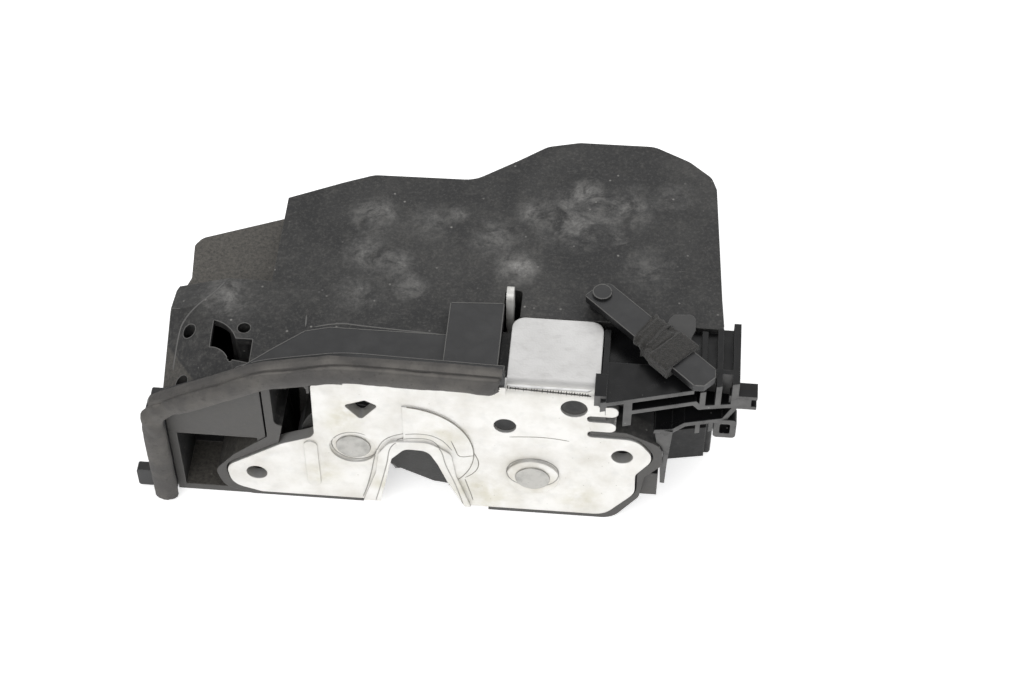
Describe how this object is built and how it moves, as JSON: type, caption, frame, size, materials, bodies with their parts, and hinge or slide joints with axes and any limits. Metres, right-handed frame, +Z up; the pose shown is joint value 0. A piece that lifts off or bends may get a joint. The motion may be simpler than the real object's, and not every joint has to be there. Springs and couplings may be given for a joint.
{
  "type": "door latch actuator",
  "caption": "Vehicle door latch with its lock actuator: pressed face plate with fish-mouth and rotary claw, black moulded casing, rubber bead seal, ribbed side bracket and top levers",
  "frame": {"origin": "midpoint of the two bolt holes, on the outer face of the face plate", "axes": "+X to the right along the face plate, +Y into the door behind the plate, +Z up; the bolts point out along -Y"},
  "size_m": [0.1452, 0.0824, 0.0559],
  "materials": {
    "zinc_plate": "satin",
    "bright_steel": "satin",
    "spring_steel": "satin",
    "cast_claw": "satin",
    "brass": "satin",
    "charcoal_plastic": "matt",
    "black_plastic": "satin",
    "bracket_plastic": "gloss",
    "jacket_plastic": "satin",
    "gear_plastic": "satin",
    "terminal_plastic": "satin",
    "seal_rubber": "matt",
    "buffer_rubber": "matt",
    "felt": "matt"
  },
  "bodies": {
    "root": {"face_plate": "zinc_plate", "back_plate": "bright_steel", "claw_pivot": "bright_steel", "pawl_pivot": "bright_steel", "striker_buffer": "buffer_rubber", "latch_carrier": "charcoal_plastic", "housing_cover": "charcoal_plastic", "housing_base": "charcoal_plastic", "cover_screws": "spring_steel", "face_seal": "seal_rubber", "seal_carrier": "black_plastic", "side_bracket": "bracket_plastic", "strap_pin": "black_plastic", "release_pin": "bright_steel", "lock_motor": "bright_steel", "wheel_axle": "bright_steel", "lock_lever_axle": "bright_steel", "microswitches": "terminal_plastic", "terminal_carrier": "terminal_plastic", "connector_socket": "terminal_plastic", "connector_pins": "brass", "claw_spring": "spring_steel", "pawl_spring": "spring_steel"},
    "claw": {"claw": "cast_claw", "claw_jacket": "jacket_plastic"},
    "pawl": {"pawl": "bright_steel"},
    "release_lever": {"release_lever": "bright_steel"},
    "strap": {"strap_lever": "black_plastic", "felt_sleeve": "felt"},
    "wheel": {"worm_wheel": "gear_plastic"},
    "worm": {"motor_worm": "gear_plastic"},
    "lock_lever": {"lock_lever": "gear_plastic"}
  },
  "joints": [
    {"name": "claw_turn", "type": "hinge", "parent": "root", "child": "claw", "pos_m": [-0.0194, 0, 0.0044], "axis": [0, -1, 0], "range_deg": [0, 60], "stiffness_Nm_per_rad": 0.02, "springref_deg": -34.38, "deforming": ["claw_spring"]},
    {"name": "pawl_lift", "type": "hinge", "parent": "root", "child": "pawl", "pos_m": [0.0226, 0, -0.0015], "axis": [0, 1, 0], "range_deg": [-12.3, 4.5], "deforming": ["pawl_spring"]},
    {"name": "release_turn", "type": "hinge", "parent": "root", "child": "release_lever", "pos_m": [0.01535, 0.0235, -0.002], "axis": [-1, 0, 0], "range_deg": [-6.2, 2.3]},
    {"name": "strap_swing", "type": "hinge", "parent": "root", "child": "strap", "pos_m": [0.0362, 0.0267, 0.0332], "axis": [0, 0, 1], "range_deg": [0, 18]},
    {"name": "wheel_turn", "type": "hinge", "parent": "root", "child": "wheel", "pos_m": [0.027, 0.0574, -0.002], "axis": [0, 0, 1], "range_deg": [0, 50]},
    {"name": "worm_turn", "type": "hinge", "parent": "root", "child": "worm", "pos_m": [0.027, 0.0425, -0.002], "axis": [-1, 0, 0], "range_deg": [0, 1700]},
    {"name": "lock_turn", "type": "hinge", "parent": "root", "child": "lock_lever", "pos_m": [0.0438, 0.0574, 0.002], "axis": [0, 0, 1], "range_deg": [-25, 0]}
  ],
  "couplings": [
    {"joint": "release_turn", "follows": "pawl_lift", "ratio": 0.5},
    {"joint": "worm_turn", "follows": "wheel_turn", "ratio": 34},
    {"joint": "lock_turn", "follows": "wheel_turn", "ratio": -0.5}
  ]
}
